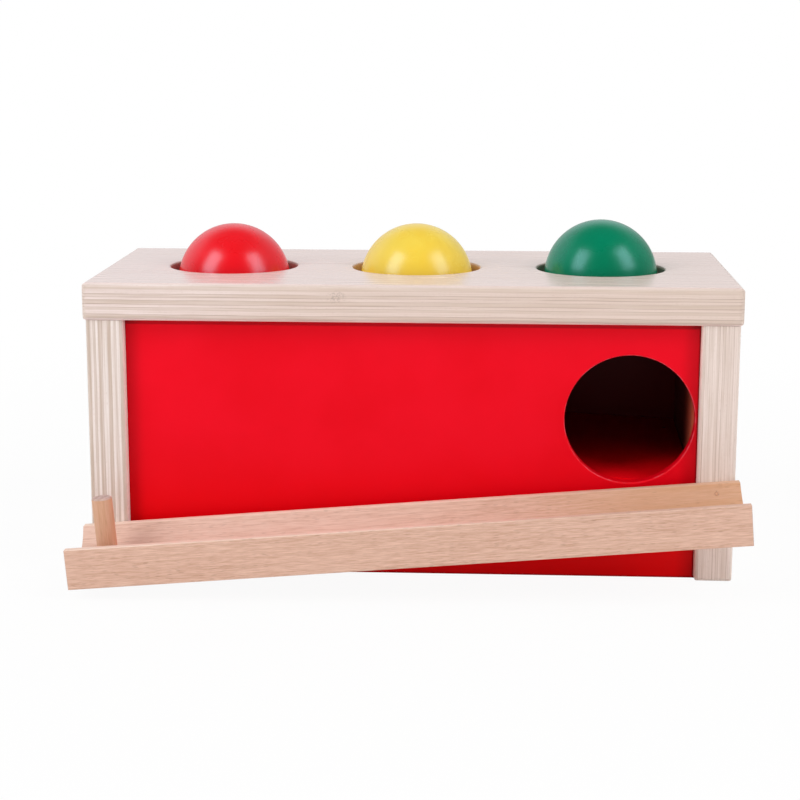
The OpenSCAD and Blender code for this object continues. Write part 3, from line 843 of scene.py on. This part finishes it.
def along_outline(share, stations):
    """Radius and height on an outline of stations: share of the way, radius, height."""
    radius, height = stations[0][1:]
    for before, after in zip(stations, stations[1:]):
        way = share.ramp(before[0], after[0], smooth=False)
        radius = way * (after[1] - before[1]) + radius
        height = way * (after[2] - before[2]) + height
    return radius, height


def flat_grid(tree, rows, columns):
    """A grid to roll up: its mesh, and for each point its share along the outline and round the axis."""
    grid = put(tree, "GeometryNodeMeshGrid", {"Vertices X": rows, "Vertices Y": columns})
    return (grid["Mesh"], *split(grid["UV Map"])[:2])


def roll_up(mesh, around, radius, height):
    """Rolls a grid round the z axis and closes it."""
    angle = around * FULL_TURN
    place = join(radius * angle.math("COSINE"), radius * angle.math("SINE"), height)
    rolled = put(mesh.tree, "GeometryNodeSetPosition", {"Geometry": mesh, "Position": place})["Geometry"]
    return put(mesh.tree, "GeometryNodeMergeByDistance", {"Geometry": rolled, "Distance": WELD})["Geometry"]


def cut_away(mesh, cutter):
    """A form with another one cut out of it."""
    forms = {"Mesh 1": mesh, "Mesh 2": cutter}
    return put(mesh.tree, "GeometryNodeMeshBoolean", forms, operation="DIFFERENCE")["Mesh"]


def start_piece(name, sizes):
    """A geometry tree that starts from seat points; every size is an input of its own."""
    sockets = {"Seats": GEOMETRY, **dict.fromkeys([*sizes, "Turn"], FLOAT), **SEED_AND_FINISH}
    return start_group(name, "GeometryNodeTree", sockets, {"Pieces": GEOMETRY})


RANDOM_LEAST, RANDOM_MOST, RANDOM_OUT = 2, 3, 1


def set_on_seats(tree, given, leave, form):
    """Puts the form on each seat along its drive, turned by chance, as one mesh with its finish."""
    drive = put(tree, "GeometryNodeInputNamedAttribute", {"Name": "drive"}, data_type="FLOAT_VECTOR")["Attribute"]
    aimed = put(tree, "FunctionNodeAlignRotationToVector", {"Vector": drive}, axis="Z")["Rotation"]
    limits = {RANDOM_LEAST: 0.0, RANDOM_MOST: given["Turn"], "Seed": given["Seed"]}
    chance = put(tree, "FunctionNodeRandomValue", limits, data_type="FLOAT")[RANDOM_OUT]
    spin = put(tree, "FunctionNodeAxisAngleToRotation", {"Axis": (0, 0, 1), "Angle": chance})["Rotation"]
    spun = put(tree, "FunctionNodeRotateRotation", {0: aimed, 1: spin}, rotation_space="LOCAL")["Rotation"]
    placing = {"Points": given["Seats"], "Instance": form, "Rotation": spun}
    placed = put(tree, "GeometryNodeInstanceOnPoints", placing)["Instances"]
    real = put(tree, "GeometryNodeRealizeInstances", {"Geometry": placed})["Geometry"]
    finished = put(tree, "GeometryNodeSetMaterial", {"Geometry": real, "Material": given["Finish"]})["Geometry"]
    connect(tree, finished, leave.inputs["Pieces"])
    return tree


print("turned forms: closed within %.3f mm" % (WELD / MM))

# %% [markdown]
# A tree needs something to work on: a mesh that holds only the seat points, each with the direction in which
# its piece is driven. The modifier's inputs go by the identifiers of the tree's sockets. Once the result is
# a plain mesh, the modifier goes, and the piece is tied to the box.


# %% Make pieces from a tree
def make_pieces(name, tree, seats, sizes, material, nodes, turn=FULL_TURN, seed=1, sharp=35):
    """Runs a tree on seats (place and drive of each) and lets the plain result stand for CAD nodes."""
    points = bpy.data.meshes.new(name + "_seats")
    points.from_pydata([place for place, drive in seats], [], [])
    drives = points.attributes.new("drive", "FLOAT_VECTOR", "POINT")
    drives.data.foreach_set("vector", [part for place, drive in seats for part in drive])
    piece = bpy.data.objects.new(name, points)
    studio.collection.objects.link(piece)
    modifier = piece.modifiers.new("maker", "NODES")
    modifier.node_group = tree
    sockets = {item.name: item.identifier for item in tree.interface.items_tree if item.in_out == "INPUT"}
    for label, value in {**sizes, "Turn": turn, "Seed": seed, "Finish": material}.items():
        modifier[sockets[label]] = value
    evaluated = piece.evaluated_get(bpy.context.evaluated_depsgraph_get())
    made = bpy.data.meshes.new_from_object(evaluated)
    piece.modifiers.clear()
    piece.data = made
    made.shade_smooth()
    made.set_sharp_from_angle(angle=math.radians(sharp))
    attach(piece, "box")
    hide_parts(*nodes)
    print("%s: %d pieces, %d faces" % (name, len(seats), len(made.polygons)))


def separate_solids(node):
    """The boxes (lowest and highest corner) of the separate solids in one CAD node."""
    mesh = solids[node].data
    spots = [tuple(round(part / WELD) for part in vertex.co) for vertex in mesh.vertices]
    joined = {spot: {spot} for spot in spots}
    for face in mesh.polygons:
        first, *others = (joined[spots[corner]] for corner in face.vertices)
        if any(other is not first for other in others):
            whole = first.union(*others)
            joined.update(dict.fromkeys(whole, whole))
    groups = {}
    for spot, vertex in zip(spots, mesh.vertices):
        groups.setdefault(min(joined[spot]), []).append(vertex.co)
    corners = [(Vector(map(min, zip(*group))), Vector(map(max, zip(*group)))) for group in groups.values()]
    return sorted(corners, key=lambda pair: tuple(pair[0]))


def seats_up(axis, nodes, start=None):
    """Seats of the separate solids in CAD nodes, driven up an axis, and the length from their start."""
    drive = [float(part == axis) for part in range(3)]
    seats = []
    for low, high in (pair for node in nodes for pair in separate_solids(node)):
        place = (low + high) / 2
        place[axis] = low[axis] if start is None else start
        seats.append((place, drive))
    return seats, high[axis] - place[axis]


for node in ("left_ring_screws", "cleat_screws", "ramp_brads", "track_brads", "left_lid_dowels"):
    print(node, "holds", len(separate_solids(node)))

# %% [markdown]
# ## Screws
# Each ring hangs on four small round-head screws, and two more hold each cleat. The real ones are rolled:
# a thread winds up the shank to a tapered point, and a slot is pressed into the head. The thread is a zigzag
# that runs once round the axis for each pitch, added to the radius of the core. The slot is cut with a block.

# %% Screws
SCREW_SIZES = {
    "Shank": 2.8 * MM, "Core": 2.0 * MM, "Pitch": 1.2 * MM, "Point": 3.2 * MM, "Neck": 0.8 * MM,
    "Head": 5.0 * MM, "Head Height": 1.8 * MM, "Slot": 0.85 * MM,
}
SHANK_ROWS, SHANK_COLUMNS = 110, 16
HEAD_ROWS, HEAD_COLUMNS = 19, 40
DOME_STEPS = 8


def screw_tree():
    """A slotted round-head screw that seats at z = 0 and points up."""
    tree, given, leave = start_piece("slotted_screw", ["Length", *SCREW_SIZES])
    core, tall = given["Core"] / 2, given["Head Height"]
    sunk = tall * -0.25
    mesh, along, around = flat_grid(tree, SHANK_ROWS, SHANK_COLUMNS)
    shank_outline = [
        (0.0, 0.0, given["Length"]),
        (0.02, core * 0.2, given["Length"] - given["Point"] * 0.04),
        (0.2, core, given["Length"] - given["Point"]),
        (0.98, core, sunk),
        (1.0, 0.0, sunk),
    ]
    radius, height = along_outline(along, shank_outline)
    ridge = (height / given["Pitch"] - around).math("PINGPONG", 0.5) * (given["Shank"] - given["Core"])
    wound = height.ramp(given["Neck"], given["Neck"] + given["Pitch"]) * along.ramp(0.02, 0.2)
    shank = roll_up(mesh, around, radius + ridge * wound, height)
    mesh, along, around = flat_grid(tree, HEAD_ROWS, HEAD_COLUMNS)
    rim = given["Head"] / 2
    edge_angle = 2 * math.atan(SCREW_SIZES["Head Height"] / (SCREW_SIZES["Head"] / 2))
    head_outline = [(0.0, 0.0, 0.0), (0.1, rim * 0.97, 0.0)]
    for step in range(DOME_STEPS + 1):
        angle = edge_angle * (1 - step / DOME_STEPS)
        fall = (math.cos(angle) - math.cos(edge_angle)) / (1 - math.cos(edge_angle))
        spread = math.sin(angle) / math.sin(edge_angle)
        head_outline.append((0.2 + 0.8 * step / DOME_STEPS, rim * spread, tall * -fall))
    head = roll_up(mesh, around, *along_outline(along, head_outline))
    block = put(tree, "GeometryNodeMeshCube", {"Size": join(given["Head"] * 2, given["Slot"], tall)})["Mesh"]
    lowered = {"Geometry": block, "Translation": join(tall * 0, 0.0, tall * -1)}
    slotted = cut_away(head, put(tree, "GeometryNodeTransform", lowered)["Geometry"])
    both = tree.nodes.new("GeometryNodeJoinGeometry")
    for form in (shank, slotted):
        connect(tree, form, both.inputs["Geometry"])
    return set_on_seats(tree, given, leave, Wire(tree, both.outputs["Geometry"]))


slotted_screw = screw_tree()
RINGS = ("left", "middle", "right")
ring_screw_nodes = [ring + "_ring_screws" for ring in RINGS]
ring_seats, ring_screw_length = seats_up(Z, ring_screw_nodes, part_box("left_grip_ring")[0].z)
make_pieces("turned_ring_screws", slotted_screw, ring_seats, {**SCREW_SIZES, "Length": ring_screw_length},
            screw_steel, ring_screw_nodes, seed=4)
cleat_seats = []
for low, high in separate_solids("cleat_screws"):
    left, middle = low.x < 0, (low + high) / 2
    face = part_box("left_ramp_cleat")[1].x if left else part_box("right_ramp_cleat")[0].x
    cleat_screw_length = abs((low.x if left else high.x) - face)
    cleat_seats.append(((face, middle.y, middle.z), (-1 if left else 1, 0, 0)))
make_pieces("turned_cleat_screws", slotted_screw, cleat_seats, {**SCREW_SIZES, "Length": cleat_screw_length},
            screw_steel, ["cleat_screws"], seed=9)

# %% [markdown]
# ## Brads
# Brads are thin nails with a small head that is driven flush. Four hold the ramp on its cleats, along the
# ramp's own normal, and two hold the track. A brad is a turned form too: point, shank, head, and the small
# dent that the nail set leaves.

# %% Brads
BRAD_SIZES = {"Head": 1.6 * MM, "Shank": 1.2 * MM, "Point": 2.4 * MM, "Dent": 0.25 * MM}
BRAD_ROWS, BRAD_COLUMNS = 41, 20
RAMP_FALL_RIGHT, RAMP_FALL_FRONT = 3, 4
RAMP_BRAD_LENGTH = 13 * MM


def brad_tree():
    """A brad whose head lies at z = 0 and which points up."""
    tree, given, leave = start_piece("small_brad", ["Length", *BRAD_SIZES])
    mesh, along, around = flat_grid(tree, BRAD_ROWS, BRAD_COLUMNS)
    head, shank = given["Head"] / 2, given["Shank"] / 2
    outline = [
        (0.0, 0.0, given["Length"]),
        (0.2, shank, given["Length"] - given["Point"]),
        (0.5, shank, head * 1.6),
        (0.6, head, head * 0.8),
        (0.7, head, head * 0.15),
        (0.8, head * 0.85, 0.0),
        (0.9, head * 0.5, given["Dent"] * 0.3),
        (1.0, 0.0, given["Dent"]),
    ]
    return set_on_seats(tree, given, leave, roll_up(mesh, around, *along_outline(along, outline)))


small_brad = brad_tree()
ramp_up = turned(RAMP_FALL_RIGHT, "Y") @ turned(RAMP_FALL_FRONT, "X") @ Vector((0, 0, 1))
half_brad = ramp_up * RAMP_BRAD_LENGTH / 2
ramp_seats = [((low + high) / 2 + half_brad, -ramp_up) for low, high in separate_solids("ramp_brads")]
make_pieces("set_ramp_brads", small_brad, ramp_seats, {**BRAD_SIZES, "Length": RAMP_BRAD_LENGTH},
            brad_steel, ["ramp_brads"], seed=2)
track_seats, track_brad_length = seats_up(Y, ["track_brads"])
make_pieces("set_track_brads", small_brad, track_seats, {**BRAD_SIZES, "Length": track_brad_length},
            stopped_steel, ["track_brads"], seed=3)

# %% [markdown]
# ## Dowels
# Two beech dowels join the lid to each end board. Bought dowels are fluted, so that air and glue can get out
# of the hole. The flutes are a wave round the axis that takes a little off the radius.

# %% Dowels
DOWEL_SIZES = {"Wide": 6 * MM, "Bevel": 0.8 * MM, "Flute": 0.3 * MM}
DOWEL_FLUTES = 14
DOWEL_ROWS, DOWEL_COLUMNS = 6, DOWEL_FLUTES * 8 + 1


def dowel_tree():
    """A fluted dowel that stands on z = 0."""
    tree, given, leave = start_piece("fluted_dowel", ["Length", *DOWEL_SIZES])
    mesh, along, around = flat_grid(tree, DOWEL_ROWS, DOWEL_COLUMNS)
    wide, bevel = given["Wide"] / 2, given["Bevel"]
    outline = [
        (0.0, 0.0, given["Length"]),
        (0.2, wide - bevel, given["Length"]),
        (0.4, wide, given["Length"] - bevel),
        (0.6, wide, bevel),
        (0.8, wide - bevel, 0.0),
        (1.0, 0.0, 0.0),
    ]
    wave = (around * (FULL_TURN * DOWEL_FLUTES)).math("COSINE").math("MAXIMUM", 0.0)
    radius, height = along_outline(along, outline)
    fluted = radius * (1.0 - wave * (given["Flute"] / wide))
    return set_on_seats(tree, given, leave, roll_up(mesh, around, fluted, height))


fluted_dowel = dowel_tree()
DOWEL_TURN = turned(-90, "Y")
dowel_seats, dowel_length = seats_up(Z, ["left_lid_dowels", "right_lid_dowels"])
dowel_beech = beech("beech_dowels", middle_of("left_lid_dowels"), DOWEL_TURN, (25 * MM, 40 * MM), 3.7)
make_pieces("fluted_lid_dowels", fluted_dowel, dowel_seats, {**DOWEL_SIZES, "Length": dowel_length},
            dowel_beech, ["left_lid_dowels", "right_lid_dowels"], seed=5)

# %% [markdown]
# ## Grip rings
# Under each hole a flat rubber ring with a tighter opening holds the ball until it is pressed. Moulded rubber
# has rounded edges, so the section is a superellipse: nearly a rectangle, with corners that flow. The holes
# for the screws are cut with a circle of pins.

# %% Grip rings
RING_SIZES = {"Outer": 33.5 * MM, "Pins": 30 * MM, "Pin": 1.45 * MM}
RING_ROWS, RING_COLUMNS = 33, 129
PIN_COUNT, PIN_SIDES = 4, 24
EDGE_FLOW = 0.4


def ring_tree():
    """A flat ring with a rounded section that lies on z = 0."""
    tree, given, leave = start_piece("soft_ring", ["Inner", "Thick", *RING_SIZES])
    mesh, along, around = flat_grid(tree, RING_ROWS, RING_COLUMNS)

    def flowing(wave):
        return wave.math("SIGN") * abs(wave).math("POWER", EDGE_FLOW)

    angle = along * FULL_TURN
    wide, both = given["Outer"] - given["Inner"], given["Outer"] + given["Inner"]
    radius = flowing(angle.math("COSINE")) * wide / 2 + both / 2
    height = (1.0 - flowing(angle.math("SINE"))) * given["Thick"] / 2
    ring = roll_up(mesh, around, radius, height)
    circle = put(tree, "GeometryNodeMeshCircle", {"Vertices": PIN_COUNT, "Radius": given["Pins"]})["Mesh"]
    stepped = {"Geometry": circle, "Rotation": (0, 0, math.pi / PIN_COUNT)}
    places = put(tree, "GeometryNodeTransform", stepped)["Geometry"]
    pin = put(tree, "GeometryNodeMeshCylinder",
              {"Vertices": PIN_SIDES, "Radius": given["Pin"], "Depth": given["Thick"] * 6})["Mesh"]
    pins = put(tree, "GeometryNodeInstanceOnPoints", {"Points": places, "Instance": pin})["Instances"]
    cutters = put(tree, "GeometryNodeRealizeInstances", {"Geometry": pins})["Geometry"]
    return set_on_seats(tree, given, leave, cut_away(ring, cutters))


soft_ring = ring_tree()
for ring in RINGS:
    node = ring + "_grip_ring"
    low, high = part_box(node)
    axis = middle_of(node)
    opening = min((vertex.co.xy - axis.xy).length for vertex in solids[node].data.vertices)
    sizes = {**RING_SIZES, "Inner": opening, "Thick": high.z - low.z}
    make_pieces(ring + "_soft_ring", soft_ring, [((axis.x, axis.y, low.z), (0, 0, 1))], sizes, rubber, [node],
                turn=0.0)
    print("opening of the %s ring: %.2f mm" % (ring, opening / MM))
